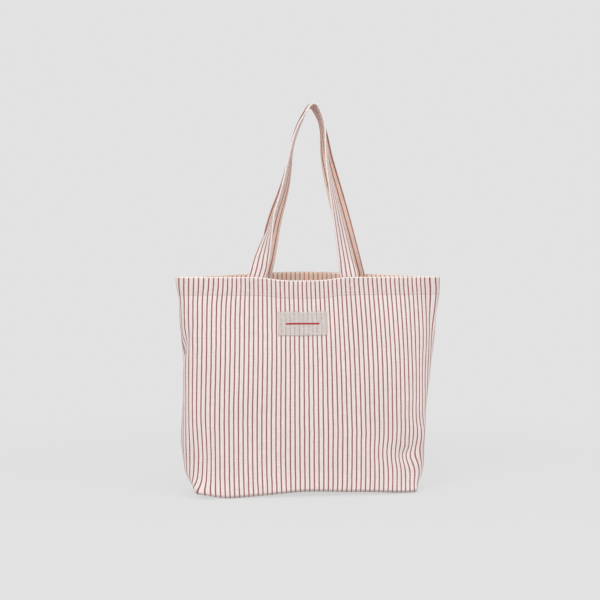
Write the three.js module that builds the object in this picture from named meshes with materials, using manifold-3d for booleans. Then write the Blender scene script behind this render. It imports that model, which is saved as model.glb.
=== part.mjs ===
// Canvas tote bag of striped ticking: two panels with boxed corners, turned hems, two sewn-in
// handles, a label and the seam allowances inside.
// Millimetres, +Z up, +X to the wearer's left, front towards -Y. The origin is the middle of the base.
//
// Every cloth piece is a flat blank bent to its place. The two panels make one closed ring of cloth
// whose girth is the same at every height, so the boxed base, the full belly and the narrow mouth
// all follow from one panel width: where the ring gets flatter it gets wider.

import * as THREE from 'three';
import { mergeVertices } from 'three/addons/utils/BufferGeometryUtils.js';
import Module from 'manifold-3d';

// ---- bag body ----
const PANEL_WIDTH = 420; // finished, from side seam to side seam
const BODY_HEIGHT = 327; // base to rim, at the side seams
const BASE_DEPTH = 102; // boxed corners, front to back
const BODY_DEPTH = 89; // the wall draws in just over the base
const MOUTH_DEPTH = 60; // rim to rim at the middle
const CLOTH = 1; // thickness of the canvas
const SEAM_GAP = 0.3; // between pieces that lie on each other
const BASE_FOLD = 0.3; // the base's folded edge stands out from the wall
const FRONT_RIM_RISE = -4; // middle of the front rim, against the side seams
const BACK_RIM_RISE = 8; // the back rim is drawn up by its handle

// ---- shape of the ring: 2 is an ellipse, larger is nearer a box ----
const RIM_SQUARENESS = 2.5;
const BODY_SQUARENESS = 4;
const BASE_SQUARENESS = 19;
const SQUARENESS_FADE = 0.75; // how late the body rounds towards the mouth
const BASE_FOLD_HEIGHT = 11; // height over which the sharp base corners fade
const BASE_SETTLE_HEIGHT = 24; // height over which the base's depth fades into the body's
const BASE_SETTLE_POWER = 1.6;
const BELLY_FADE = 2.2; // how late the belly narrows towards the mouth

// ---- lean: hung by its handles, the body swings a little to -X under the mouth ----
const BELLY_LEAN = -9.3;
const LEAN_HEIGHT = 80; // where it leans most
const LEAN_SPREAD = 110;

// ---- hem ----
const HEM_DEPTH = 27;
const HEM_LAYERS = 2; // layers turned in behind the panel

// ---- handles ----
const STRAP_WIDTH = 27;
const STRAP_THICKNESS = 3; // folded in four and sewn
const HANDLE_SPACING = 144; // between the middles of one handle's feet
const HANDLE_RISE = 268; // strap's middle line above the side seams' rim
const FRONT_HANDLE_SHIFT = -14.5; // the front panel hangs rolled a little to -X
const BACK_HANDLE_SHIFT = 4.5; // and the back panel to +X
const TOP_SHIFT = 3.2; // where both handles hang, off the middle
const TOP_RADIUS = 10.5; // of the bend at the top, on the strap's middle line
// A leg turns edge-on over `height`, early where `power` is low and late where it is high.
const FRONT_LEFT_TWIST = { height: 95, power: 0.9 };
const FRONT_RIGHT_TWIST = { height: 250, power: 0.6 };
const BACK_LEFT_TWIST = { height: 230, power: 0.9 };
const BACK_RIGHT_TWIST = { height: 235, power: 1.5 };
const TWIST_SETTLE = 25; // every leg leaves its sewn end flat, over this height
const TOP_DROOP = 10; // degrees by which the strap's outer edge droops at the top
const HANDLE_GAP = 2; // between the two straps at the top
const FOOT_LENGTH = 24; // strap end sewn inside the hem

// ---- label ----
const LABEL_WIDTH = 74;
const LABEL_HEIGHT = 36;
const LABEL_THICKNESS = 0.5;
const LABEL_DROP = 51; // rim to the label's top edge

// ---- seam allowances ----
const ALLOWANCE = 10; // width of a trimmed and overlocked seam
const SEAM_THICKNESS = 2 * CLOTH;
const SEAM_CLEARANCE = 4; // free length where seams meet
const SIDE_SEAM_GAP = 0.9; // between a side seam's allowance and the wall it stands on

// ---- fineness ----
const GIRTH_STEPS = 48;
const BODY_STEPS = 14;
const HEM_STEPS = 3;
const LEG_STEPS = 22;
const BEND_STEPS = 8;
const LABEL_STEPS = [8, 4];
const HANDLE_END_STEPS = [4, 3];
const ARC_DIVISIONS = 600;
const ROW_CROWDING = 1.5; // above 1 sets a panel's rows closer together near the base
const WIDTH_TOLERANCE = 0.001;
const MERGE_TOLERANCE = 1e-4;

// ---- worked out from the above ----
const HEM_THICKNESS = HEM_LAYERS * CLOTH;
const HEM_OFFSET = CLOTH / 2 + SEAM_GAP + HEM_THICKNESS / 2;
const FOOT_OFFSET = HEM_OFFSET + HEM_THICKNESS / 2 + SEAM_GAP + STRAP_THICKNESS / 2;
const LABEL_OFFSET = CLOTH / 2 + SEAM_GAP + LABEL_THICKNESS / 2;

// `lean` is 1 where a side's own +X is the bag's, and `twists` go from its own -X to its own +X.
const FRONT = {
  rimRise: FRONT_RIM_RISE,
  handleShift: FRONT_HANDLE_SHIFT,
  topShift: TOP_SHIFT,
  twists: [FRONT_LEFT_TWIST, FRONT_RIGHT_TWIST],
  lean: 1,
};
// The back is built as a second front and turned half round, so its shifts change sign.
const BACK = {
  rimRise: BACK_RIM_RISE,
  handleShift: -BACK_HANDLE_SHIFT,
  topShift: -TOP_SHIFT,
  twists: [BACK_RIGHT_TWIST, BACK_LEFT_TWIST],
  lean: -1,
};

const manifold = await Module();
manifold.setup();

// ---- the ring of cloth ----

// Front half of the ring at one height, from the side seam at -X to the one at +X.
class HalfRing extends THREE.Curve {
  constructor(halfWidth, halfDepth, squareness) {
    super();
    this.halfWidth = halfWidth;
    this.halfDepth = halfDepth;
    this.squareness = squareness;
    this.arcLengthDivisions = ARC_DIVISIONS;
  }

  getPoint(t, target = new THREE.Vector2()) {
    const angle = (t - 0.5) * Math.PI;
    const across = Math.sin(angle);
    const forward = Math.cos(angle);
    const reach = Math.abs(across / this.halfWidth) ** this.squareness
      + Math.abs(forward / this.halfDepth) ** this.squareness;
    const radius = reach ** (-1 / this.squareness);
    return target.set(radius * across, -radius * forward);
  }
}

// The half ring at a share of the height, 0 at the base and 1 at the rim: its depth is given, and
// its width is whatever uses up the panel's width.
function halfRingAt(share) {
  const height = share * BODY_HEIGHT;
  const settled = Math.exp(-((height / BASE_SETTLE_HEIGHT) ** BASE_SETTLE_POWER));
  const halfDepth = BODY_DEPTH / 2
    + (MOUTH_DEPTH - BODY_DEPTH) / 2 * share ** BELLY_FADE
    + (BASE_DEPTH - BODY_DEPTH) / 2 * settled;
  const squareness = RIM_SQUARENESS
    + (BODY_SQUARENESS - RIM_SQUARENESS) * (1 - share) ** SQUARENESS_FADE
    + (BASE_SQUARENESS - BODY_SQUARENESS) * Math.exp(-height / BASE_FOLD_HEIGHT);
  let narrow = 0;
  let wide = PANEL_WIDTH / 2;
  while (wide - narrow > WIDTH_TOLERANCE) {
    const middle = (narrow + wide) / 2;
    if (new HalfRing(middle, halfDepth, squareness).getLength() < PANEL_WIDTH) {
      narrow = middle;
    } else {
      wide = middle;
    }
  }
  return new HalfRing(narrow, halfDepth, squareness);
}

// How far the body swings to the side at one height.
function leanAt(height) {
  return BELLY_LEAN * Math.exp(-(((height - LEAN_HEIGHT) / LEAN_SPREAD) ** 2));
}

// Height of the rim where the panel's cloth is `along` millimetres from its middle.
function rimHeight(face, along) {
  return BODY_HEIGHT + face.rimRise * Math.cos(Math.PI * along / PANEL_WIDTH) ** 2;
}

// A function that puts (along, share, out) on the front: `along` is millimetres of cloth from the
// panel's middle, `share` the share of the height, and `out` the distance outside the middle of
// the cloth.
function frontSurface(face) {
  const rings = new Map();
  return (along, share, out) => {
    if (!rings.has(share)) {
      rings.set(share, halfRingAt(share));
    }
    const ring = rings.get(share);
    const seam = SEAM_GAP / 2 / PANEL_WIDTH;
    const place = THREE.MathUtils.clamp(0.5 + along / PANEL_WIDTH, seam, 1 - seam);
    const point = ring.getPointAt(place);
    const run = ring.getTangentAt(place);
    const z = share * rimHeight(face, along);
    const x = point.x + out * run.y + face.lean * leanAt(z);
    return new THREE.Vector3(x, point.y - out * run.x, z);
  };
}

// Share of the height of a panel's row `v`, from 0 to 1. The top rows are the hem's own, so that
// both layers have the same facets; below them rows crowd towards the base, where the ring changes
// most.
function panelShare(v) {
  const steps = BODY_STEPS + HEM_STEPS;
  const row = Math.round(v * steps);
  const hemFoot = 1 - HEM_DEPTH / BODY_HEIGHT;
  if (row > BODY_STEPS) {
    return hemShare((row - BODY_STEPS) / HEM_STEPS);
  }
  return hemFoot * (row / BODY_STEPS) ** ROW_CROWDING;
}

function hemShare(v) {
  return 1 - (1 - v) * HEM_DEPTH / BODY_HEIGHT;
}

// ---- bending a blank ----

// Closed sheet: a box of nu by nv cells, each corner put at place(u, v, w) with u and v from 0 to 1
// and w from -0.5 (inner face) to 0.5 (outer face).
function bentSheet(nu, nv, place) {
  const geometry = new THREE.BoxGeometry(1, 1, 1, nu, nv, 1);
  const position = geometry.getAttribute('position');
  for (let i = 0; i < position.count; i += 1) {
    const u = Math.round((position.getX(i) + 0.5) * nu) / nu;
    const v = Math.round((position.getY(i) + 0.5) * nv) / nv;
    const p = place(u, v, position.getZ(i));
    position.setXYZ(i, p.x, p.y, p.z);
  }
  geometry.computeVertexNormals();
  return geometry;
}

function toSolid(geometry) {
  const bare = geometry.clone();
  bare.deleteAttribute('normal');
  bare.deleteAttribute('uv');
  const merged = mergeVertices(bare, MERGE_TOLERANCE);
  return new manifold.Manifold(new manifold.Mesh({
    numProp: 3,
    vertProperties: merged.getAttribute('position').array,
    triVerts: new Uint32Array(merged.index.array),
  }));
}

function fromSolid(solid) {
  const mesh = solid.getMesh();
  const geometry = new THREE.BufferGeometry();
  geometry.setAttribute('position', new THREE.BufferAttribute(mesh.vertProperties, 3));
  geometry.setIndex(new THREE.BufferAttribute(mesh.triVerts, 1));
  geometry.computeVertexNormals();
  return geometry;
}

// ---- cloth pieces ----

// One panel: the wall from side seam to side seam, standing on its half of the base. The base is
// folded out from under the wall by BASE_FOLD all round, and ends just short of the bottom seam.
function panel(face) {
  const surface = frontSurface(face);
  const wall = bentSheet(GIRTH_STEPS, BODY_STEPS + HEM_STEPS, (u, v, w) => {
    const p = surface((u - 0.5) * PANEL_WIDTH, panelShare(v), w * CLOTH);
    return p.setZ(Math.max(p.z, CLOTH / 2));
  });
  const outline = [];
  for (let i = 0; i <= GIRTH_STEPS; i += 1) {
    const along = (i / GIRTH_STEPS - 0.5) * PANEL_WIDTH;
    const p = surface(along, 0, CLOTH / 2 + BASE_FOLD);
    outline.push(new THREE.Vector2(p.x, Math.min(p.y, -SEAM_GAP)));
  }
  const base = new THREE.ExtrudeGeometry(new THREE.Shape(outline), {
    depth: CLOTH,
    bevelEnabled: false,
  });
  return fromSolid(toSolid(wall).add(toSolid(base)));
}

// The turned-in top of a panel, lying behind it from the rim down.
function hem(face) {
  const surface = frontSurface(face);
  return bentSheet(GIRTH_STEPS, HEM_STEPS, (u, v, w) => (
    surface((u - 0.5) * PANEL_WIDTH, hemShare(v), -HEM_OFFSET + w * HEM_THICKNESS)
  ));
}

// The patch on the front, level with its edges, under the middle of the front handle.
function label(face) {
  const surface = frontSurface(face);
  return bentSheet(...LABEL_STEPS, (u, v, w) => {
    const along = face.handleShift + (u - 0.5) * LABEL_WIDTH;
    const height = BODY_HEIGHT - LABEL_DROP - (1 - v) * LABEL_HEIGHT;
    return surface(along, height / rimHeight(face, along), LABEL_OFFSET + w * LABEL_THICKNESS);
  });
}

// ---- handles ----

function footMiddle(face, side) {
  return face.handleShift + side * HANDLE_SPACING / 2;
}

// Level top of a sewn end: no higher than the rim in front of it.
function footTop(face, side) {
  const edges = [-0.5, 0.5].map((u) => footMiddle(face, side) + u * STRAP_WIDTH);
  return Math.min(...edges.map((along) => rimHeight(face, along)));
}

// The sewn end of a strap, flat against the hem inside the rim.
function handleEnd(face, side) {
  const surface = frontSurface(face);
  const top = footTop(face, side);
  return bentSheet(...HANDLE_END_STEPS, (u, v, w) => {
    const along = footMiddle(face, side) + (u - 0.5) * STRAP_WIDTH;
    const share = (top - (1 - v) * FOOT_LENGTH) / rimHeight(face, along);
    return surface(along, share, -FOOT_OFFSET + w * STRAP_THICKNESS);
  });
}

// Seen from the front, a handle's middle line is a straight leg, a round bend and a straight leg.
function handleLine(face, feet) {
  const bend = new THREE.Vector2(face.topShift, BODY_HEIGHT + HANDLE_RISE - TOP_RADIUS);
  const touchAngle = (foot, side) => {
    const reach = bend.clone().sub(foot);
    const lean = reach.angle() + side * Math.asin(TOP_RADIUS / reach.length());
    return lean + side * Math.PI / 2;
  };
  const from = touchAngle(feet[0], 1);
  const to = touchAngle(feet[1], -1);
  const line = new THREE.Path();
  line.moveTo(feet[0].x, feet[0].y);
  line.lineTo(bend.x + TOP_RADIUS * Math.cos(from), bend.y + TOP_RADIUS * Math.sin(from));
  line.absarc(bend.x, bend.y, TOP_RADIUS, from, to, true);
  line.lineTo(feet[1].x, feet[1].y);
  return line;
}

// Points and directions along the middle line, closer together round the bend.
function handleStations(line) {
  const steps = [LEG_STEPS, BEND_STEPS, LEG_STEPS];
  const stations = [];
  line.curves.forEach((curve, part) => {
    for (let i = part === 0 ? 0 : 1; i <= steps[part]; i += 1) {
      const t = i / steps[part];
      stations.push({ point: curve.getPoint(t), run: curve.getTangent(t) });
    }
  });
  return stations;
}

// Where one foot of a strap leaves its sewn end: its middle, and its direction along the rim.
function handleFoot(face, side) {
  const surface = frontSurface(face);
  const middle = footMiddle(face, side);
  const left = surface(middle - STRAP_WIDTH / 2, 1, -FOOT_OFFSET);
  const right = surface(middle + STRAP_WIDTH / 2, 1, -FOOT_OFFSET);
  return {
    middle: left.clone().add(right).divideScalar(2).setZ(footTop(face, side) + SEAM_GAP),
    acrossRim: right.clone().sub(left).setZ(0).normalize().multiplyScalar(-side),
  };
}

// The free span of a strap. At its feet it lies flat along the rim, and each leg turns edge-on in its
// own way, so that at the top the strap's width runs front to back and its inner face looks down.
function handle(face) {
  const feet = [handleFoot(face, -1), handleFoot(face, 1)];
  const line = handleLine(face, feet.map(({ middle }) => new THREE.Vector2(middle.x, middle.z)));
  const stations = handleStations(line);
  const last = stations.length - 1;
  const top = BODY_HEIGHT + HANDLE_RISE;
  const topY = -(STRAP_WIDTH + HANDLE_GAP) / 2;

  const sections = stations.map(({ point, run }, index) => {
    const leg = index <= last / 2 ? 0 : 1;
    const foot = feet[leg];
    const risen = Math.max(0, point.y - foot.middle.z);
    const climb = risen / (top - foot.middle.z);
    const turned = Math.min(1, risen / face.twists[leg].height) ** face.twists[leg].power;
    const twist = turned * THREE.MathUtils.smoothstep(risen, 0, TWIST_SETTLE) * Math.PI / 2;
    const droop = THREE.MathUtils.degToRad(TOP_DROOP) * climb ** 4;
    const edgeOn = new THREE.Vector3(0, -Math.cos(droop), -Math.sin(droop));
    const across = foot.acrossRim.clone().multiplyScalar(Math.cos(twist))
      .addScaledVector(edgeOn, Math.sin(twist));
    const along = new THREE.Vector3(run.x, 0, run.y);
    const out = across.clone().cross(along).normalize();
    const y = THREE.MathUtils.lerp(foot.middle.y, topY, climb);
    return { middle: new THREE.Vector3(point.x, y, point.y), across, out };
  });
  return bentSheet(1, last, (u, v, w) => {
    const { middle, across, out } = sections[Math.round(v * last)];
    return middle.clone()
      .addScaledVector(across, (u - 0.5) * STRAP_WIDTH)
      .addScaledVector(out, w * STRAP_THICKNESS);
  });
}

// ---- seam allowances, which stand into the bag ----

// Side seam at +X, from above the corner seam to below the hem. `lean` is 1 if it stays at +X, and
// -1 if it is turned to -X afterwards.
function sideSeam(lean) {
  const low = CLOTH + ALLOWANCE + SEAM_CLEARANCE;
  const high = BODY_HEIGHT - HEM_DEPTH - SEAM_CLEARANCE;
  return bentSheet(1, BODY_STEPS, (u, v, w) => {
    const z = low + v ** ROW_CROWDING * (high - low);
    const outer = halfRingAt(z / BODY_HEIGHT).halfWidth - CLOTH / 2 - SIDE_SEAM_GAP;
    const x = outer - (1 - u) * ALLOWANCE + lean * leanAt(z);
    return new THREE.Vector3(x, -w * SEAM_THICKNESS, z);
  });
}

// Across the base at +X, where the boxed corner is sewn shut: it ends where the ring starts to
// round into the front and the back. It stands upright, as far over as the wall at its foot.
function cornerSeam(lean) {
  const { halfWidth, halfDepth, squareness } = halfRingAt(0);
  const straight = (1 - (1 - SEAM_GAP / 2 / halfWidth) ** squareness) ** (1 / squareness);
  const length = 2 * (straight * halfDepth - SEAM_CLEARANCE);
  const geometry = new THREE.BoxGeometry(SEAM_THICKNESS, length, ALLOWANCE);
  const x = halfWidth - CLOTH / 2 - SEAM_GAP - SEAM_THICKNESS / 2 + lean * leanAt(0);
  return geometry.translate(x, 0, CLOTH + SEAM_GAP + ALLOWANCE / 2);
}

// Along the middle of the base, where the two panels meet.
function bottomSeam() {
  const reach = halfRingAt(0).halfWidth - CLOTH / 2 - SEAM_GAP - SEAM_THICKNESS - SEAM_GAP;
  const geometry = new THREE.BoxGeometry(2 * reach, SEAM_THICKNESS, ALLOWANCE);
  return geometry.translate(leanAt(0), 0, CLOTH + SEAM_GAP + ALLOWANCE / 2);
}

// ---- materials ----

function ticking() {
  return new THREE.MeshStandardMaterial({ color: '#ddc9c4', roughness: 0.95, metalness: 0 });
}

function tickingInside() {
  return new THREE.MeshStandardMaterial({ color: '#d8bcae', roughness: 0.95, metalness: 0 });
}

function labelCotton() {
  return new THREE.MeshStandardMaterial({ color: '#dccfc6', roughness: 0.9, metalness: 0 });
}

// ---- assembly ----

const bag = new THREE.Group();

function place(group, name, geometry, material) {
  const mesh = new THREE.Mesh(geometry, material);
  mesh.name = name;
  group.add(mesh);
}

function buildSide(name, face, turned) {
  const group = new THREE.Group();
  group.rotation.z = turned ? Math.PI : 0;
  place(group, `${name}_panel`, panel(face), ticking());
  place(group, `${name}_hem`, hem(face), tickingInside());
  place(group, `${name}_handle`, handle(face), ticking());
  // Left and right are as seen from the front.
  const left = turned ? 1 : -1;
  place(group, `${name}_handle_left_end`, handleEnd(face, left), ticking());
  place(group, `${name}_handle_right_end`, handleEnd(face, -left), ticking());
  bag.add(group);
  return group;
}

const frontGroup = buildSide('front', FRONT, false);
buildSide('back', BACK, true);
place(frontGroup, 'label', label(FRONT), labelCotton());

for (const [side, turn, lean] of [['right', 0, 1], ['left', Math.PI, -1]]) {
  const group = new THREE.Group();
  group.rotation.z = turn;
  place(group, `${side}_side_seam`, sideSeam(lean), tickingInside());
  place(group, `${side}_corner_seam`, cornerSeam(lean), tickingInside());
  bag.add(group);
}
place(bag, 'bottom_seam', bottomSeam(), tickingInside());

export default bag;
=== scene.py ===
"""Canvas tote bag in striped ticking: the cloth, its stitching and its finish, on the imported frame.

Metres, +Z up, front towards -Y. `along` is the length of cloth from a panel's middle, `share` the
share of the height from base to rim, and `out` the distance outside the middle of the cloth.
"""

import math
from dataclasses import dataclass

import bmesh
import bpy
import numpy as np
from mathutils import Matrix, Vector


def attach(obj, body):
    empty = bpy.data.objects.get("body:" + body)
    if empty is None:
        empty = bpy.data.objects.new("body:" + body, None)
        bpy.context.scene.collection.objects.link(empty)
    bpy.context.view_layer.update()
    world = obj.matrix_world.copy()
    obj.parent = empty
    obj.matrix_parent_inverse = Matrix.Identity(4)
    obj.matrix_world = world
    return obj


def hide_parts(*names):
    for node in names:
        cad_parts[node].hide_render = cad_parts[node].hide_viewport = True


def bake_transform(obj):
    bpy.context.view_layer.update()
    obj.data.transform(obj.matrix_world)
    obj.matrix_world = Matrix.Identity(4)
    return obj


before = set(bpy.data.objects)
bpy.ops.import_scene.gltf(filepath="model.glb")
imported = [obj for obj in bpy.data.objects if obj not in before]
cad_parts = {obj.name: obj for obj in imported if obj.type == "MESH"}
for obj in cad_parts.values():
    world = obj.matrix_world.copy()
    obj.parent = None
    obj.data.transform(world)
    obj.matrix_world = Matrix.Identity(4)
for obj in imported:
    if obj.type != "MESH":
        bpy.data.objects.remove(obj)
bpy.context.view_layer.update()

# ---- the cut of the bag ----
PANEL_WIDTH = 0.420  # finished, from side seam to side seam
GIRTH = 2 * PANEL_WIDTH
BODY_HEIGHT = 0.327
BASE_DEPTH = 0.102
BODY_DEPTH = 0.089
MOUTH_DEPTH = 0.060
RIM_EASE = 0.0010
BACK_RIM_RISE = 0.0075
RIM_DIP, DIP_PLACE, DIP_REACH = 0.0052, -0.014, 0.052
BELLY_LEAN, LEAN_HEIGHT, LEAN_SPREAD = -0.0093, 0.080, 0.110
CLOTH = 0.001
SEAM_GAP = 0.0003
HEM_DEPTH = 0.027
HEM_THICKNESS = 0.002
HEM_OFFSET = CLOTH / 2 + SEAM_GAP + HEM_THICKNESS / 2
HEM_STITCH_INSET = 0.0016
RIM_ROLL = 0.0016
STRAP_WIDTH = 0.027
STRAP_THICKNESS = 0.003
FOOT_OFFSET = HEM_OFFSET + HEM_THICKNESS / 2 + SEAM_GAP + STRAP_THICKNESS / 2
FOOT_LENGTH = 0.024
HANDLE_SPACING = 0.144
HANDLE_RISE = 0.268
TOP_RADIUS, TOP_SINK = 0.0050, 0.0062
HANDLE_GAP = 0.002
LABEL_WIDTH, LABEL_HEIGHT, LABEL_THICKNESS = 0.074, 0.036, 0.0005
LABEL_DROP = 0.051
ALLOWANCE = 0.010
BASE_FOLD_RADIUS = 0.0025
STRIPE_PITCH = 0.0070
STRIPE_WIDTH = 0.0020
STRIPE_START = 0.00105
BACK_STRAP_STRIPES = 0.0022  # the back strap's stripes lie this far across


@dataclass(frozen=True)
class Face:
    """One side of the bag, with its handle. The back is made as a second front and turned round.
    For the handle's two legs, twists give the height at which a leg has turned edge-on and how
    early it does, and sways how far up it stands aside, over what length, and how far."""

    name: str
    handle_shift: float
    top_shift: float
    turned: bool
    twists: tuple
    sways: tuple

    def rim_height(self, along):
        """The back's rim is drawn up in its middle; the front's dips between the straps."""
        ease = BODY_HEIGHT + RIM_EASE
        if self.turned:
            return ease + BACK_RIM_RISE * np.cos(np.pi * along / PANEL_WIDTH) ** 2
        return ease - RIM_DIP * np.exp(-(((along - DIP_PLACE) / DIP_REACH) ** 4))

    def girth(self, along):
        """Place round the whole bag, from the side seam at -X past the front."""
        start = PANEL_WIDTH if self.turned else 0.0
        return start + along + PANEL_WIDTH / 2


FRONT = Face(
    "front", handle_shift=-0.0145, top_shift=0.0032, turned=False,
    twists=((0.095, 0.9), (0.250, 0.6)), sways=((0.0, 0.032, 0.0026), (0.0, 0.030, 0.0)),
)
BACK = Face(
    "back", handle_shift=-0.0045, top_shift=-0.0032, turned=True,
    twists=((0.235, 1.5), (0.185, 0.9)), sways=((0.0, 0.030, 0.0), (0.080, 0.045, 0.0042)),
)


def lean(height):
    """How far the hanging body swings to the side."""
    return BELLY_LEAN * np.exp(-(((height - LEAN_HEIGHT) / LEAN_SPREAD) ** 2))


# ---- the ring of cloth: as the bag gets flatter towards the mouth it gets wider ----
RING_ROWS, RING_ANGLES = 240, 900
FLARE_HEIGHT, BOX_HEIGHT = 0.024, 0.011  # how far up the base still widens and squares the ring


def half_rings():
    """Points of the front half ring for RING_ROWS heights, evenly spaced along the cloth."""
    share = np.linspace(0, 1, RING_ROWS + 1)[:, None]
    height = share * BODY_HEIGHT
    depth = (
        BODY_DEPTH / 2
        + (MOUTH_DEPTH - BODY_DEPTH) / 2 * share**2.2
        + (BASE_DEPTH - BODY_DEPTH) / 2 * np.exp(-((height / FLARE_HEIGHT) ** 1.6))
    )
    # A soft oval at the mouth, squarer downwards, and a box at the base.
    power = 2.5 + 1.5 * (1 - share) ** 0.75 + 15 * np.exp(-height / BOX_HEIGHT)
    angle = np.linspace(-math.pi / 2, math.pi / 2, RING_ANGLES + 1)
    across, forward = np.sin(angle), np.cos(angle)
    forward[0] = forward[-1] = 0

    def points(width):
        reach = np.abs(across / width) ** power + np.abs(forward / depth) ** power
        radius = reach ** (-1 / power)
        return radius * across, -radius * forward

    narrow, wide = np.full_like(share, 0.05), np.full_like(share, PANEL_WIDTH / 2)
    for _ in range(30):
        middle = (narrow + wide) / 2
        x, y = points(middle)
        length = np.hypot(np.diff(x), np.diff(y)).sum(1, keepdims=True)
        short = length < PANEL_WIDTH
        narrow, wide = np.where(short, middle, narrow), np.where(short, wide, middle)
    x, y = points(narrow)
    steps = np.hypot(np.diff(x), np.diff(y))
    gone = np.concatenate([np.zeros_like(share), np.cumsum(steps, 1)], 1)
    even = np.linspace(0, 1, RING_ANGLES + 1)
    lines = [[np.interp(even * g[-1], g, line) for line in pair] for g, *pair in zip(gone, x, y)]
    return np.array(lines).transpose(1, 0, 2)


RING_X, RING_Y = half_rings()
RING = (RING_X, RING_Y, np.gradient(RING_X, axis=1), np.gradient(RING_Y, axis=1))


def looked_up(table, row, column):
    """Bilinear look-up in a table of RING_ROWS by RING_ANGLES."""
    i = np.clip(np.floor(row).astype(int), 0, RING_ROWS - 1)
    j = np.clip(np.floor(column).astype(int), 0, RING_ANGLES - 1)
    s, t = row - i, column - j
    low = table[i, j] * (1 - t) + table[i, j + 1] * t
    high = table[i + 1, j] * (1 - t) + table[i + 1, j + 1] * t
    return low * (1 - s) + high * s


# ---- folds: each is a soft dent or ridge in the cloth ----
# (girth, height, length across, length up, lean, depth outwards); lean is across per up.
FOLDS = (
    # At the left side the cloth is drawn in under the hem and turns over itself.
    (0.012, 0.222, 0.010, 0.026, 0.45, -0.0055),
    (0.030, 0.235, 0.008, 0.040, 0.20, 0.0016),
    (0.830, 0.262, 0.013, 0.030, -0.20, 0.0006),
    (0.822, 0.150, 0.034, 0.052, 0.00, -0.0056),
    (0.002, 0.150, 0.016, 0.045, 0.10, 0.0012),
    # Low on the right it buckles above the boxed corner.
    (0.368, 0.062, 0.015, 0.014, 0.55, -0.0042),
    (0.392, 0.082, 0.012, 0.022, 0.30, 0.0024),
    (0.352, 0.040, 0.014, 0.016, 0.40, 0.0018),
    # Under the mouth on the right, two soft ripples.
    (0.398, 0.268, 0.008, 0.034, -0.15, -0.0020),
    (0.410, 0.250, 0.007, 0.034, -0.15, 0.0016),
    (0.386, 0.225, 0.009, 0.040, -0.20, 0.0012),
    # Draw lines below the sewn ends of the front handle.
    (0.112, 0.262, 0.010, 0.045, -0.05, 0.0011),
    (0.134, 0.255, 0.009, 0.050, 0.05, -0.0009),
    (0.258, 0.258, 0.009, 0.050, -0.08, -0.0009),
    (0.282, 0.262, 0.011, 0.050, 0.10, 0.0012),
    # Low on the left, the cloth comes forward over the corner.
    (0.022, 0.072, 0.016, 0.034, -0.15, 0.0008),
    (0.002, 0.052, 0.022, 0.020, 0.00, -0.0022),
    (0.046, 0.030, 0.016, 0.026, -0.50, -0.0012),
    # The back, hung the same way.
    (0.470, 0.070, 0.016, 0.020, 0.50, -0.0030),
    (0.452, 0.215, 0.012, 0.050, -0.20, -0.0024),
    (0.548, 0.260, 0.012, 0.050, 0.05, 0.0012),
    (0.566, 0.250, 0.010, 0.050, -0.05, -0.0010),
    (0.692, 0.258, 0.011, 0.050, 0.08, 0.0012),
    (0.676, 0.250, 0.010, 0.055, -0.04, -0.0010),
    (0.786, 0.058, 0.018, 0.022, -0.50, -0.0030),
    (0.806, 0.185, 0.013, 0.040, 0.25, -0.0018),
    # The boxed corners: the left one is pulled forward, the right one sits back.
    (0.042, 0.002, 0.026, 0.014, 0.00, 0.0066),
    (0.382, 0.000, 0.024, 0.011, 0.00, 0.0040),
    (0.790, 0.003, 0.028, 0.024, 0.00, -0.0050),
    (0.806, 0.058, 0.026, 0.018, 0.00, -0.0042),
    (0.369, 0.003, 0.026, 0.020, 0.00, -0.0042),
    # The ends of the mouth are drawn out a little.
    (0.420, 0.308, 0.018, 0.034, 0.00, 0.0042),
    (0.000, 0.320, 0.014, 0.018, 0.00, 0.0026),
)
# Where the threads run off their plumb line: (girth, height, across, up, sideways).
DRIFTS = (
    (0.004, 0.080, 0.028, 0.062, -0.0090),
    (0.014, 0.212, 0.012, 0.016, -0.0030),
    (0.014, 0.006, 0.034, 0.013, 0.0070),
    (0.370, 0.057, 0.022, 0.020, 0.0072),
    (0.408, 0.180, 0.018, 0.075, 0.0055),
    (0.405, 0.015, 0.020, 0.016, -0.0045),
    (0.470, 0.060, 0.022, 0.022, -0.0040),
    (0.790, 0.055, 0.024, 0.022, 0.0040),
    (0.062, 0.332, 0.034, 0.030, -0.0030),
    (0.048, 0.060, 0.018, 0.036, -0.0034),
    (0.092, 0.315, 0.035, 0.030, -0.0018),
    (0.090, 0.070, 0.040, 0.050, -0.0012),
    (0.320, 0.230, 0.050, 0.140, -0.0014),
    (0.392, 0.190, 0.014, 0.050, 0.0030),
    (0.330, 0.060, 0.020, 0.016, 0.0016),
    (0.366, 0.066, 0.012, 0.011, -0.0050),
    (0.386, 0.036, 0.018, 0.022, -0.0030),
    (0.384, 0.118, 0.020, 0.022, 0.0020),
    (0.410, 0.320, 0.016, 0.060, -0.0065),
)
# Slow waves of cloth never pressed flat: (depth, count round the bag, slant, waves up, start).
WAVES = ((0.0007, 9, 6, 21, 0.8), (0.0004, 23, -9, 33, 0.0))
SIDE_CREASE, CREASE_WIDTH = 0.0011, 0.0022
PUCKER, PUCKER_LENGTH = 0.00022, 0.0125
# The stripes' fan: how far it spreads at the rim, where it starts, and its spread along the base.
FAN, FAN_START, FAN_BASE, FAN_BASE_HEIGHT = 0.0136, 0.0046, 0.0040, 0.028
PLUMB = 0.54  # how much of the body's lean the stripes leave out
# The base's front edge: where it touches the floor, and how it rises from there.
TOUCH_DOWN, LEFT_RISE, MIDDLE_RISE, RIGHT_FALL = -0.118, 0.0085, 0.0078, 0.0062
LEFT_END_LIFT, RIGHT_END_LIFT = 0.0036, 0.0013
LIFT_FADE = 0.03
LIFT_AT_FOLD = math.exp(-BASE_FOLD_RADIUS / LIFT_FADE)


def bump(value):
    """1 at 0, and down to nothing on both sides."""
    return np.exp(-(value**2))


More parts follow.
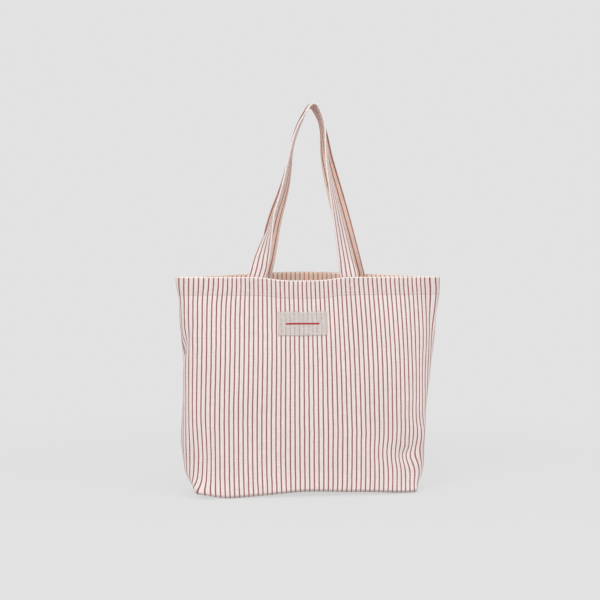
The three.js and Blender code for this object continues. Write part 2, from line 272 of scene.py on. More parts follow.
def smooth(value):
    """From 0 at 0 to 1 at 1, with soft ends."""
    value = np.clip(value, 0, 1)
    return value * value * (3 - 2 * value)


def unit(vectors):
    return vectors / np.linalg.norm(vectors, axis=-1, keepdims=True)


def run_along(line):
    """How far along a line each of its points is."""
    return np.concatenate([[0], np.cumsum(np.linalg.norm(np.diff(line, axis=0), axis=1))])


def between(at, places, table):
    """A table's rows, which belong to places, looked up at other places."""
    return np.stack([np.interp(at, places, column) for column in table.T], -1)


def apart(girth, place):
    """Signed distance round the bag."""
    return (girth - place + GIRTH / 2) % GIRTH - GIRTH / 2


def drape(girth, height):
    """How far the hanging cloth stands out from the plain ring."""
    out = np.zeros_like(girth)
    for place, level, across, up, slant, depth in FOLDS:
        rise = height - level
        out += depth * bump((apart(girth, place) - slant * rise) / across) * bump(rise / up)
    for depth, count, slant, upwards, start in WAVES:
        sideways = np.sin(girth * 2 * math.pi * count / GIRTH + slant * height)
        out += depth * sideways * np.sin(height * upwards + start)
    # The hem's stitching draws the single cloth under it into small puckers.
    below = BODY_HEIGHT - HEM_DEPTH - height
    uneven = 0.6 + 0.4 * np.sin(girth * 2 * math.pi * 17 / GIRTH)
    fade = np.where(below > 0, bump(below / 0.020), bump(below / 0.004))
    out += PUCKER * uneven * fade * np.sin(girth * 2 * math.pi / PUCKER_LENGTH + 30 * below)
    # The two panels turn in where they are sewn together.
    for seam in (0.0, PANEL_WIDTH):
        out -= SIDE_CREASE * bump(apart(girth, seam) / CREASE_WIDTH)
    return out


def gather(face, along, height):
    """How far the threads lie from an evenly hung cloth's. The straps' stitching takes cloth up at
    the rim, so that the stripes fan out from it, and they hang plumb where the body leans."""
    turn = -1 if face.turned else 1
    drawn = np.clip((along + 0.110) / 0.170, 0, 1) ** 1.4
    risen = np.clip((height - 0.092) / 0.228, 0, 1) ** 1.1
    moved = drawn * (FAN * risen - FAN_START + FAN_BASE * np.exp(-height / FAN_BASE_HEIGHT))
    moved += PLUMB * turn * lean(height)
    for place, level, across, up, sideways in DRIFTS:
        beside = apart(face.girth(along), place)
        moved += sideways * bump(beside / across) * bump((height - level) / up)
    return moved + STRIPE_START


def base_lift(face, along):
    """The standing bag rests on its base seam, on the back edge of the base and on one place in the
    front edge, which is drawn up off the floor elsewhere."""
    corner = smooth((np.abs(along) - 0.150) / 0.060)
    left = (along > 0) == face.turned
    if face.turned:
        lift = 0.0005 * (1 + np.sin(along * 38 + 1.2))
    else:
        lift = LEFT_RISE * smooth((TOUCH_DOWN - along) / 0.055)
        lift += MIDDLE_RISE * smooth((along - TOUCH_DOWN) / 0.105)
        lift += 0.0006 * np.cos(along * 66) - RIGHT_FALL * smooth(along / 0.170)
    return lift + (np.where(left, LEFT_END_LIFT, RIGHT_END_LIFT) - lift) * corner


def end_lift(face, along, across):
    """The base's short ends rise with the boxed sides: how much a place does, and how far."""
    beside = np.sign(along) * (PANEL_WIDTH / 2 - np.abs(across))
    near_end = smooth((np.abs(along) - 0.130) / 0.032)
    return near_end, base_lift(face, beside) * LIFT_AT_FOLD


def on_cloth(face, along, share, out):
    """Points on one side of the bag."""
    along, share, out = np.broadcast_arrays(*(np.asarray(a, float) for a in (along, share, out)))
    column = np.clip(0.5 + along / PANEL_WIDTH, 0, 1) * RING_ANGLES
    row = np.clip(share, 0, 1) * RING_ROWS
    x, y, dx, dy = (looked_up(table, row, column) for table in RING)
    size = np.hypot(dx, dy)
    height = share * face.rim_height(along)
    away = out + drape(face.girth(along), height)
    x, y = x + away * dy / size, y - away * dx / size
    turn = -1 if face.turned else 1
    lifted = height + base_lift(face, along) * np.exp(-height / LIFT_FADE)
    return np.stack([turn * x + lean(height), turn * y, lifted], -1)


def round_bag(girth, height, out):
    """Points anywhere round the bag, by the girth from the side seam at -X past the front."""
    girth = np.asarray(girth, float) % GIRTH
    found = []
    for face, start in ((FRONT, 0.0), (BACK, PANEL_WIDTH)):
        along = np.clip(girth - start - PANEL_WIDTH / 2, -PANEL_WIDTH / 2, PANEL_WIDTH / 2)
        found.append(on_cloth(face, along, height / face.rim_height(along), out))
    return np.where((girth < PANEL_WIDTH)[..., None], *found)


# ---- cloth meshes ----


def as_object(bm, name, materials):
    """Makes a finished bmesh an object of the scene."""
    mesh = bpy.data.meshes.new(name)
    bm.to_mesh(mesh)
    bm.free()
    for material in materials:
        mesh.materials.append(material)
    made = bpy.data.objects.new(name, mesh)
    bpy.context.scene.collection.objects.link(made)
    return made


def cloth_grid(name, columns, rows, place, measure, materials, keep=None, turned=None):
    """A sheet of columns by rows cells. place(u, v) gives the corners' points, with u and v from 0
    to 1, and measure(u, v) how far across and up the cut cloth they are, which the weave follows.
    keep(u, v) picks the cells that stay, and turned(u, v) those that have the second material."""
    bm = bmesh.new()
    bmesh.ops.create_grid(bm, x_segments=columns, y_segments=rows, size=0.5)
    bm.verts.index_update()
    flat = np.array([v.co for v in bm.verts])
    u, v = (np.round((flat[:, k] + 0.5) * n) / n for k, n in enumerate((columns, rows)))
    points, cloth = place(u, v), np.stack(measure(u, v), -1)
    layer = bm.loops.layers.uv.new("cloth")
    for cell in bm.faces:
        cell.smooth = True
        for loop in cell.loops:
            loop[layer].uv = cloth[loop.vert.index]
    for vert, point in zip(bm.verts, points):
        vert.co = point
    if turned is not None:
        second = turned(u, v)
        for cell in bm.faces:
            cell.material_index = int(all(second[c.index] for c in cell.verts))
    if keep is not None:
        kept = keep(u, v)
        gone = [f for f in bm.faces if not all(kept[c.index] for c in f.verts)]
        bmesh.ops.delete(bm, geom=gone, context="FACES")
    return as_object(bm, name, materials)


def thicken(piece, thickness, side, inner=0):
    """Gives a sheet its thickness: side is -1 inwards from its face and 1 outwards."""
    wall = piece.modifiers.new("thickness", "SOLIDIFY")
    wall.thickness = thickness
    wall.offset = side
    wall.material_offset = inner
    wall.material_offset_rim = 0


# ---- colour and nodes ----


def linear(hex_colour):
    """sRGB hex to the linear colour that shaders take."""
    parts = [int(hex_colour[i : i + 2], 16) / 255 for i in (1, 3, 5)]
    return (*(p / 12.92 if p <= 0.04045 else ((p + 0.055) / 1.055) ** 2.4 for p in parts), 1.0)


def add(tree, kind, values=(), **settings):
    """Adds one node: settings are its own options, and values gives its sockets by name or number,
    each a plain value, another node's output, or a node, whose first output in use is taken."""
    made = tree.nodes.new("ShaderNode" + kind)
    for name, value in settings.items():
        setattr(made, name, value)
    for socket, value in dict(values).items():
        if isinstance(value, bpy.types.Node):
            value = next(output for output in value.outputs if output.enabled)
        if isinstance(value, bpy.types.NodeSocket):
            tree.links.new(value, made.inputs[socket])
        else:
            made.inputs[socket].default_value = value
    return made


def new_material(name):
    made = bpy.data.materials.new(name)
    made.use_nodes = True
    made.node_tree.nodes.clear()
    return made, made.node_tree


MATH, VECTOR, SPLIT, RANGE, MIX = "Math", "VectorMath", "SeparateXYZ", "MapRange", "Mix"
NOISE, MAPPING = "TexNoise", "Mapping"
SOFT = {"interpolation_type": "SMOOTHSTEP"}
COLOUR = {"data_type": "RGBA"}


def plain_weave(tree, cloth, thread, warp, weft):
    """Threads that cross every `thread` metres, with slubs: thicker and thinner lengths of yarn, at
    the scales warp and weft. Gives the threads' waves, the slubs and the height of it all."""
    turns = add(tree, VECTOR, {0: cloth, "Scale": 2 * math.pi / thread}, operation="SCALE")
    threads = add(tree, SPLIT, {0: add(tree, VECTOR, {0: turns}, operation="SINE")}).outputs
    weave = add(tree, MATH, {0: threads[0], 1: threads[1]}, operation="MULTIPLY")
    drawn_out = [add(tree, MAPPING, {"Vector": cloth, "Scale": scale}) for scale in (warp, weft)]
    yarns = [add(tree, NOISE, {"Vector": d, "Scale": 1.0, "Detail": 2.0}) for d in drawn_out]
    slubs = add(tree, MATH, {0: yarns[0], 1: yarns[1]}, operation="ADD")
    height = add(tree, MATH, {0: weave, 1: 0.35, 2: slubs}, operation="MULTIPLY_ADD")
    return threads, slubs, height


def matt_cotton(tree, colour, rough, height, relief, sheen):
    """Cotton cloth's surface: its threads in relief, and a faint bloom of loose fibre."""
    bumps = {"Height": height, "Strength": relief, "Distance": 0.0002}
    shader = add(tree, "BsdfPrincipled", {
        "Base Color": colour, "Roughness": rough, "IOR": 1.5,
        "Normal": add(tree, "Bump", bumps),
        "Specular IOR Level": 0.2, "Sheen Weight": sheen, "Sheen Roughness": 0.5,
    })
    add(tree, "OutputMaterial", {"Surface": shader})


def ticking(name, ground, ground_shade, stripe, stripe_shade):
    """Cotton ticking, yarn-dyed and woven plain: an ivory ground with a brick-red stripe of a few
    warp threads. Matt, with a faint bloom of loose fibre; the stripe breaks up a little where the
    ivory weft crosses it. Along the rim fold it is painted paler, a painted highlight with rubbed
    wear; along the base fold runs a dotted line of painted shade; and the hem with its stitch line
    is painted a little darker, as painted shade."""
    made, tree = new_material(name)
    cloth = add(tree, "UVMap", uv_map="cloth")
    across, up = add(tree, SPLIT, {0: cloth}).outputs[:2]

    # Yarn drifts a fraction of a millimetre from side to side as it runs up the cloth.
    slow = add(tree, MAPPING, {"Vector": cloth, "Scale": (40.0, 60.0, 1.0)})
    drift = add(tree, NOISE, {"Vector": slow, "Scale": 1.0, "Detail": 1.0})
    sideways = add(tree, RANGE, {0: drift, 3: -0.00035, 4: 0.00035})
    wandering = add(tree, MATH, {0: across, 1: sideways}, operation="ADD")

    # Threads lie every 0.5 mm; they are drawn every 1.1 mm so that they can show at all.
    warp, weft = (900.0, 60.0, 1.0), (50.0, 800.0, 1.0)
    threads, slubs, height = plain_weave(tree, cloth, 0.0011, warp, weft)

    # Midway between two stripes one pink thread runs in the ivory.
    from_pink = add(tree, MATH, {0: wandering, 1: STRIPE_PITCH / 2}, operation="PINGPONG")
    ragged = add(tree, MATH, {0: threads[1], 1: 0.00012, 2: from_pink}, operation="MULTIPLY_ADD")
    edge = (STRIPE_PITCH - STRIPE_WIDTH) / 2
    in_stripe = add(tree, RANGE, {0: ragged, 1: edge - 0.0003, 2: edge + 0.0003}, **SOFT)
    in_pink = add(tree, RANGE, {0: from_pink, 1: 0.0006, 2: 0.0001, 4: 0.14}, **SOFT)

    # The dye and the wash are a little uneven over a hand's breadth.
    uneven = add(tree, MATH, {0: slubs, 1: 0.5}, operation="MULTIPLY")
    washed = add(tree, NOISE, {"Vector": cloth, "Scale": 11.0, "Detail": 2.0})
    tone = add(tree, MATH, {0: washed, 1: 0.25, 2: uneven}, operation="MULTIPLY_ADD")

    pale = add(tree, RANGE, {0: tone, 1: 0.50, 2: 0.75}, **SOFT)
    ivory = add(tree, MIX, {0: pale, 6: linear(ground_shade), 7: linear(ground)}, **COLOUR)
    brick = add(tree, MIX, {0: pale, 6: linear(stripe_shade), 7: linear(stripe)}, **COLOUR)
    pink = add(tree, MIX, {0: in_pink, 6: ivory, 7: linear(stripe)}, **COLOUR)
    striped = add(tree, MIX, {0: in_stripe, 6: pink, 7: brick}, **COLOUR)

    # The hem's stitching pulls the cloth into a fine groove, whose shade is painted as a darker line
    # along it.
    hem_edge = BODY_HEIGHT - HEM_DEPTH
    groove = {0: up, 1: hem_edge + HEM_STITCH_INSET, 2: 0.0007}
    from_line = add(tree, MATH, groove, operation="COMPARE")
    # One layer lets light through and looks paler than the hem, where there are three: the hem is
    # painted a little darker, as painted shade.
    tripled = hem_edge + 0.0010
    in_hem = add(tree, RANGE, {0: up, 1: tripled - 0.0010, 2: tripled, 4: 0.5}, **SOFT)
    on_bag = add(tree, MATH, {0: up, 1: BODY_HEIGHT + 0.01}, operation="LESS_THAN")
    # Painted shade for the groove and the hem, multiplied into the colour.
    groove_and_hem_shade = add(tree, MATH, {0: from_line, 1: 0.7, 2: in_hem}, operation="MULTIPLY_ADD")
    painted_hem_shade = add(tree, MATH, {0: groove_and_hem_shade, 1: on_bag}, operation="MULTIPLY")
    hem_shaded = add(
        tree, MIX, {0: painted_hem_shade, 6: striped, 7: linear("#EFEAEA")},
        blend_type="MULTIPLY", clamp_factor=False, **COLOUR,
    )
    # Along the rim fold the cloth is painted paler: a painted highlight on the fold, together with
    # rubbed wear.
    rim = BODY_HEIGHT - 0.0006
    on_rim = add(tree, RANGE, {0: up, 1: rim, 2: rim + 0.0012, 4: 0.6}, **SOFT)
    rim_highlight_and_wear = add(tree, MATH, {0: on_rim, 1: on_bag}, operation="MULTIPLY")
    rim_highlit_and_rubbed = add(tree, MIX, {0: rim_highlight_and_wear, 6: hem_shaded, 7: linear("#FAF3EC")}, **COLOUR)
    # Along the base fold a dotted darker line is painted: painted shade under the fold.
    from_base = add(tree, MATH, {0: up}, operation="ABSOLUTE")
    at_base = add(tree, RANGE, {0: from_base, 1: 0.0026, 2: 0.0004, 4: 0.9}, **SOFT)
    base_fold_shade = add(tree, MATH, {0: at_base, 1: washed}, operation="MULTIPLY")
    base_fold_shaded = add(tree, MIX, {0: base_fold_shade, 6: rim_highlit_and_rubbed, 7: linear("#8A7C79")}, **COLOUR)

    rough = add(tree, RANGE, {0: uneven, 1: 0.3, 2: 0.7, 3: 0.95, 4: 0.84})
    matt_cotton(tree, base_fold_shaded, rough, height, relief=0.35, sheen=0.15)
    return made


def thin_cotton(name, colour, shade, showing):
    """Unbleached plain-woven cotton, thin and greyish, with its slubs in both directions. The
    ticking's stripes under it show through faintly."""
    made, tree = new_material(name)
    cloth = add(tree, "UVMap", uv_map="cloth")
    across = add(tree, SPLIT, {0: cloth})
    # Threads lie every 0.4 mm; they are drawn every 1 mm so that they can show at all.
    warp, weft = (700.0, 70.0, 1.0), (60.0, 800.0, 1.0)
    _, slubs, height = plain_weave(tree, cloth, 0.001, warp, weft)
    # Where warp and weft both lie over, the stripe underneath shows as a dot.
    from_pink = add(tree, MATH, {0: across, 1: STRIPE_PITCH / 2}, operation="PINGPONG")
    edge = (STRIPE_PITCH - STRIPE_WIDTH) / 2
    over = add(tree, RANGE, {0: from_pink, 1: edge - 0.0004, 2: edge + 0.0004}, **SOFT)
    dots = add(tree, NOISE, {"Vector": cloth, "Scale": 420.0, "Detail": 1.0})
    dotted = add(tree, RANGE, {0: dots, 1: 0.42, 2: 0.60, 3: 0.1, 4: 0.8}, **SOFT)
    through = add(tree, MATH, {0: over, 1: dotted}, operation="MULTIPLY")

    pale = add(tree, RANGE, {0: slubs, 1: 0.76, 2: 1.24}, **SOFT)
    plain = add(tree, MIX, {0: pale, 6: linear(shade), 7: linear(colour)}, **COLOUR)
    shown = add(tree, MIX, {0: through, 6: plain, 7: linear(showing)}, **COLOUR)
    rough = add(tree, RANGE, {0: slubs, 1: 0.6, 2: 1.4, 3: 0.96, 4: 0.86})
    matt_cotton(tree, shown, rough, height, relief=0.4, sheen=0.1)
    return made


def spun_cotton(name, colour, shade):
    """Cotton sewing thread, two plies twisted: slightly glossier than the cloth, with painted light
    and shade for the ply's slant."""
    made, tree = new_material(name)
    place = add(tree, "TexCoord").outputs["Object"]
    ply = add(tree, NOISE, {"Vector": place, "Scale": 1800.0, "Detail": 1.0})
    lit = add(tree, RANGE, {0: ply, 1: 0.4, 2: 0.6}, **SOFT)
    mixed = add(tree, MIX, {0: lit, 6: linear(shade), 7: linear(colour)}, **COLOUR)
    shader = add(tree, "BsdfPrincipled", {
        "Base Color": mixed, "Roughness": 0.7, "IOR": 1.5,
        "Specular IOR Level": 0.3, "Sheen Weight": 0.1,
    })
    add(tree, "OutputMaterial", {"Surface": shader})
    return made


OUTSIDE = ticking("cotton_ticking", "#F2E7E3", "#E8DCD8", "#A06465", "#8F575A")
# The cloth's wrong side, for all the inside. Its colours are also painted near-white and warm:
# painted light standing in for light that comes through the thin cloth.
INSIDE = ticking("cotton_ticking_wrong_side", "#FFF0E2", "#FBE6D6", "#E2A288", "#CF8F77")
# The back strap's inner face: the cloth's wrong side, painted darker and warmer as painted shade
# where it turns from the light behind the front strap.
SHADED_UNDERSIDE = ticking("cotton_ticking_strap_underside", "#F3DDD0", "#E6CCBF", "#BC7760", "#A8685A")
LABEL = thin_cotton("unbleached_cotton", "#DAD2CE", "#CAC0BC", "#B09797")
THREAD = spun_cotton("ivory_cotton_thread", "#F4EEEA", "#D8CFCA")
RED_THREAD = spun_cotton("red_cotton_thread", "#C8202B", "#A0141E")

# ---- panels ----
COLUMNS, WALL_ROWS, BASE_ROWS, FOLD_ROWS, ROLL_ROWS = 220, 150, 12, 4, 6
PANEL_ROWS = BASE_ROWS + FOLD_ROWS + WALL_ROWS + ROLL_ROWS
RIM_TURN = 0.006  # cloth that goes over the rim
NOTCH_OVERLAP = 0.004
BASE_FULLNESS = 0.010


def make_panel(face):
    def rows(v):
        """How far each row is along the wall, in under the base and over the rim, from 0 to 1."""
        row = np.round(v * PANEL_ROWS)
        wall = np.clip((row - BASE_ROWS - FOLD_ROWS) / WALL_ROWS, 0, 1)
        inner = np.clip((BASE_ROWS - row) / BASE_ROWS, 0, 1)
        over = np.clip((row - PANEL_ROWS + ROLL_ROWS) / ROLL_ROWS, 0, 1)
        return row, wall, inner, over

    def place(u, v):
        along = (u - 0.5) * PANEL_WIDTH
        row, wall, inner, over = rows(v)
        low, high = BASE_FOLD_RADIUS / BODY_HEIGHT, 1 - RIM_ROLL / BODY_HEIGHT
        share = low + (high - low) * wall
        # The turn under the base, and the turn over the rim, down to the hem's side.
        under = np.clip((BASE_ROWS + FOLD_ROWS - row) / FOLD_ROWS, 0, 1) * math.pi / 2
        over = over * math.pi
        reach = (HEM_OFFSET + HEM_THICKNESS / 2 + CLOTH / 2) / 2
        out = CLOTH / 2 - BASE_FOLD_RADIUS * (1 - np.cos(under)) - reach * (1 - np.cos(over))
        rise = RIM_ROLL * np.sin(over) - BASE_FOLD_RADIUS * np.sin(under)
        points = on_cloth(face, along, share, out)
        # The base runs in to the bottom seam, which lies on the floor.
        lifted = base_lift(face, along) * LIFT_AT_FOLD
        points[:, 1] = points[:, 1] * (1 - inner)
        left = lifted * np.clip((row - 1) / BASE_ROWS, 0, 1)
        end, raised = end_lift(face, along, points[:, 1])
        left += np.where(row <= BASE_ROWS, end * (raised - left), 0.0)
        points[:, 2] += rise - lifted + left
        points[:, 0] *= 1 + BASE_FULLNESS * np.clip(inner * BASE_ROWS, 0, 1)
        return points

    def measure(u, v):
        along = (u - 0.5) * PANEL_WIDTH
        _, wall, inner, over = rows(v)
        up = wall * BODY_HEIGHT - inner * BASE_DEPTH / 2 + over * RIM_TURN
        return along + gather(face, along, wall * BODY_HEIGHT), up

    def keep(u, v):
        base_end = (PANEL_WIDTH - BASE_DEPTH) / 2 + NOTCH_OVERLAP
        return (rows(v)[0] >= BASE_ROWS) | (np.abs(u - 0.5) * PANEL_WIDTH <= base_end)

    name = face.name + "_panel_cloth"
    made = cloth_grid(name, COLUMNS, PANEL_ROWS, place, measure, [OUTSIDE, INSIDE], keep)
    thicken(made, CLOTH, -1, 1)
    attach(made, "bag")
    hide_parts(face.name + "_panel")


def make_hem(face):
    def place(u, v):
        share = 1 - ((1 - v) * HEM_DEPTH + RIM_ROLL) / BODY_HEIGHT
        return on_cloth(face, (u - 0.5) * PANEL_WIDTH, share, -HEM_OFFSET - HEM_THICKNESS / 2)

    def measure(u, v):
        return (u - 0.5) * PANEL_WIDTH, 2 + v * HEM_DEPTH

    made = cloth_grid(face.name + "_hem_cloth", COLUMNS, 14, place, measure, [INSIDE])
    thicken(made, HEM_THICKNESS, 1)
    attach(made, "bag")
    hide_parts(face.name + "_hem")


# ---- straps ----
LEG_STEPS, BEND_STEPS, END_STEPS, ROUND_STEPS = 64, 16, 8, 32
SETTLE = 0.025  # how far above the rim a leg starts to turn freely
# The left legs turn their inner face a little to the front: how far, from what height on, and how
# far below the top they stop.
LEFT_TURN, LEFT_TURN_HEIGHT, TOP_CLEAR = math.radians(14), 0.110, 0.020
# How far the left and right legs bow apart, and how far below the top.
BOWS, BOW_DROPS = (0.0078, 0.0066), (0.050, 0.032)


class Strap:
    """Middle line and turn of one handle, from one sewn end over the top to the other."""

    def __init__(self, face, droop):
        self.face = face
        self.top = BODY_HEIGHT + HANDLE_RISE - TOP_SINK
        feet = [self.foot(side) for side in (-1, 1)]
        flat = self.arch(*(middle[[0, 2]] for middle, _, _ in feet))
        first = np.arange(len(flat)) <= len(flat) // 2
        on_left = first != face.turned
        foot, rim_run = (np.where(first[:, None], feet[0][k], feet[1][k]) for k in (0, 1))
        risen = np.maximum(0, flat[:, 1] - foot[:, 2])
        climb = risen / (self.top - foot[:, 2])
        drop = self.top - flat[:, 1]

        # Each leg lies flat on the hem and turns edge-on as it rises.
        height, power = (np.where(first, *pair) for pair in zip(*face.twists))
        twist = np.minimum(1, risen / height) ** power * smooth(risen / SETTLE) * math.pi / 2
        turned_out = smooth(risen / LEFT_TURN_HEIGHT) * (1 - bump(drop / TOP_CLEAR)) * LEFT_TURN
        twist += np.where(on_left, -turned_out if face.turned else turned_out, 0.0)
        tip = math.radians(droop) * climb**4
        edge = np.stack([np.zeros_like(tip), -np.cos(tip), -np.sin(tip)], -1)
        across = rim_run * np.cos(twist)[:, None] + edge * np.sin(twist)[:, None]
        run = unit(np.gradient(flat, axis=0))
        along = np.stack([run[:, 0], np.zeros_like(climb), run[:, 1]], -1)
        away = unit(np.cross(across, along))

        # The legs come in to the middle of the mouth, and below the top they bow apart.
        y = foot[:, 1] + (-(STRAP_WIDTH + HANDLE_GAP) / 2 - foot[:, 1]) * climb
        where, reach, aside = (np.where(first, *pair) for pair in zip(*face.sways))
        sway = aside * bump((risen - where) / reach)
        part = drop / np.where(on_left, *BOW_DROPS)
        bow = np.where(on_left, *BOWS) * part * np.exp((1 - part**2) / 2)
        spread = np.where(first, -1, 1) * bow
        middle = np.stack([flat[:, 0] + sway + spread, y, flat[:, 1]], -1)

        # The sewn ends, flat against the hem.
        down = np.linspace(1, 0, END_STEPS, endpoint=False)[:, None] * FOOT_LENGTH
        for (start, _, _), (where, reach, aside) in zip(feet, face.sways):
            start[0] += aside * bump(where / reach)
        ends = [start - down * np.array([0, 0, 1]) for start, _, _ in feet]
        every = np.ones((END_STEPS, 1))
        self.middle = np.concatenate([ends[0], middle, ends[1][::-1]])
        self.across = np.concatenate([every * feet[0][1], across, every * feet[1][1]])
        self.away = np.concatenate([every * feet[0][2], away, every * feet[1][2]])
        self.length = run_along(self.middle)
        if face.turned:
            for part in (self.middle, self.across, self.away):
                part[:, :2] *= -1

    def arch(self, start, finish):
        """The middle line seen from the front: two straight legs and a tight bend at the top."""
        bend = np.array([self.face.top_shift, self.top - TOP_RADIUS])
        touch = []
        for end, side in ((start, 1), (finish, -1)):
            reach = bend - end
            slope = math.atan2(reach[1], reach[0]) + side * math.asin(TOP_RADIUS / np.hypot(*reach))
            touch.append(slope + side * math.pi / 2)
        turn = np.linspace(*touch, BEND_STEPS + 1)
        arc = bend + TOP_RADIUS * np.stack([np.cos(turn), np.sin(turn)], -1)
        t = np.linspace(0, 1, LEG_STEPS + 1)[:, None]
        rising, falling = start + (arc[0] - start) * t, arc[-1] + (finish - arc[-1]) * t
        return np.concatenate([rising, arc[1:-1], falling])

    def foot(self, side):
        """Where one leg leaves the bag: its middle, the way its width runs and its outer face, laid
        out on the front for both handles."""
        face = self.face
        centre = face.handle_shift + side * HANDLE_SPACING / 2
        edges = np.array([centre - STRAP_WIDTH / 2, centre + STRAP_WIDTH / 2])
        left, right = on_cloth(FRONT, edges, 1.0, -FOOT_OFFSET)
        middle = (left + right) / 2
        middle[2] = face.rim_height(edges).min() + SEAM_GAP
        run = -side * unit((right - left) * np.array([1, 1, 0]))
        return middle, run, np.cross(run, [0, 0, -side])

    def place(self, step, across, away):
        """Points on the strap: step counts its stations, and across and away are distances."""
        count, tables = np.arange(len(self.middle)), (self.middle, self.across, self.away)
        middle, sideways, outward = (between(step, count, table) for table in tables)
        return middle + sideways * across[:, None] + outward * away[:, None]


STRAPS = {"front": Strap(FRONT, 3), "back": Strap(BACK, 6)}


def make_strap(face):
    strap = STRAPS[face.name]
    stations = len(strap.middle) - 1

    def section(u):
        """Across and away for a way round the folded strap, which is a flat oval."""
        turn = 2 * math.pi * u
        c, s = np.cos(turn), np.sin(turn)
        across = STRAP_WIDTH / 2 * np.sign(c) * np.abs(c) ** 0.45
        away = STRAP_THICKNESS / 2 * np.sign(s) * np.abs(s) ** 0.45
        return across, away

    def place(u, v):
        across, away = section(u)
        return strap.place(v * stations, across, away)

    def measure(u, v):
        gone = np.interp(v * stations, np.arange(stations + 1), strap.length)
        return section(u)[0] + (BACK_STRAP_STRIPES if face.turned else 0.0), 1 + gone

    def inner(u, v):
        return u >= 0.5

    name = face.name + "_strap_cloth"
    # The back strap's inner face takes the ticking with painted shade.
    sides = [OUTSIDE, SHADED_UNDERSIDE if face.turned else OUTSIDE]
    made = cloth_grid(name, ROUND_STEPS, stations, place, measure, sides, turned=inner)
    bm = bmesh.new()
    bm.from_mesh(made.data)
    bmesh.ops.remove_doubles(bm, verts=bm.verts, dist=1e-6)
    edges = [e for e in bm.edges if e.is_boundary]
    bmesh.ops.holes_fill(bm, edges=edges)
    bmesh.ops.recalc_face_normals(bm, faces=bm.faces)
    bm.to_mesh(made.data)
    bm.free()
    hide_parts(*(f"{face.name}_handle{end}" for end in ("", "_left_end", "_right_end")))
    with_strap(made, face)


def with_strap(piece, face):
    """Bakes the piece's placing into its mesh."""
    rim = float(face.rim_height(np.array([face.handle_shift]))[0])
    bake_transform(piece)


# ---- label ----
def label_place(along, up, out):
    """Points on the label: along from its middle, up from its lower edge."""
    along = FRONT.handle_shift + along
    height = BODY_HEIGHT - LABEL_DROP - LABEL_HEIGHT + up
    return on_cloth(FRONT, along, height / FRONT.rim_height(along), CLOTH / 2 + SEAM_GAP + out)


def make_label():
    def place(u, v):
        # Its turned-under edges are a little thicker than its middle, and not quite straight.
        edge = np.minimum(np.minimum(u, 1 - u) * LABEL_WIDTH, np.minimum(v, 1 - v) * LABEL_HEIGHT)
        fullness = 0.0002 * (bump((edge - 0.002) / 0.002) - bump(edge / 0.0006))
        along = (u - 0.5) * LABEL_WIDTH + 0.0004 * np.sin(v * 5)
        up = v * LABEL_HEIGHT + 0.0003 * np.sin(u * 9)
        return label_place(along, up, LABEL_THICKNESS + fullness)

    def measure(u, v):
        along = FRONT.handle_shift + (u - 0.5) * LABEL_WIDTH
        height = BODY_HEIGHT - LABEL_DROP - (1 - v) * LABEL_HEIGHT
        return along + gather(FRONT, along, height), height

    made = cloth_grid("label_cloth", 74, 36, place, measure, [LABEL])
    thicken(made, LABEL_THICKNESS, -1)
    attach(made, "bag")
    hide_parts("label")


# ---- seam allowances inside the bag: their free edges wave a little ----
SEAM_LOW, SEAM_HIGH = CLOTH + ALLOWANCE + 0.004, BODY_HEIGHT - HEM_DEPTH - 0.004
FLOOR_SEAM = CLOTH + SEAM_GAP
CORNER_SEAM = 0.075
OVERLOCK_PITCH, OVERLOCK_WIDTH, OVERLOCK_SLANT = 0.0028, 0.0038, 0.0012
BOTTOM_SEAM = 2 * (float(RING_X[0, -1]) - 0.0038)


def side_seam(side, across, up):
    """Points on the allowance at one side, -1 or 1: across from the wall, up from its lower end."""
    height = SEAM_LOW + up
    girth = np.full_like(height, 0.0 if side < 0 else PANEL_WIDTH)
    points = round_bag(girth, height, -CLOTH / 2 - 0.0009)
    points[:, 0] -= side * across
    points[:, 1] += 0.12 * across * np.sin(height * 62 + side)
    return points


def corner_seam(side, across, up):
    """Points on the allowance across a boxed corner: across from the base, up along the seam."""
    girth = (0.0 if side < 0 else PANEL_WIDTH) + up - CORNER_SEAM / 2
    points = round_bag(girth, FLOOR_SEAM + across, -CLOTH / 2 - SEAM_GAP - CLOTH)
    points[:, 0] -= side * 0.08 * across * np.abs(np.sin(up * 90))
    return points


def bottom_seam(side, across, up):
    """Points on the allowance along the middle of the base."""
    along = up - BOTTOM_SEAM / 2
    end, raised = end_lift(FRONT, along, np.zeros_like(along))
    height = FLOOR_SEAM + across + end * raised
    return np.stack([along + lean(0.0), 0.1 * across * np.sin(up * 48), height], -1)


def make_seam(node, seam, side, length):
    """Two layers of allowance sewn together, trimmed and overlocked along their free edge."""

    def place(u, v):
        return seam(side, u * ALLOWANCE, v * length)

    def measure(u, v):
        return u * ALLOWANCE, 3 + v * length

    made = cloth_grid(node + "_cloth", 5, round(length / 0.004), place, measure, [INSIDE])
    thicken(made, 2 * CLOTH, 0)
    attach(made, "bag")
    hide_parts(node)

    # Overlock: slanting threads over both sides of the edge, and a chain along it.
    up = np.linspace(0.001, length - 0.002, round(length / OVERLOCK_PITCH))
    near = seam(side, np.full_like(up, ALLOWANCE - OVERLOCK_WIDTH), up)
    far = seam(side, np.full_like(up, ALLOWANCE), up + OVERLOCK_SLANT)
    along = np.gradient(near, axis=0)
    over = unit(np.cross(far - near, along))
    rows = []
    for out in (-over, over):
        lifted = out * CLOTH * 1.08
        for start, end, away in zip(near + lifted, far + lifted, out):
            rows.append((np.stack([start, end]), np.stack([away, away])))
    beyond = unit(far - near)
    rows.append((far + 0.0001 * beyond, beyond))
    thread = sewn(node + "_overlock", rows, THREAD, **OVERLOCK)
    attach(thread, "bag")


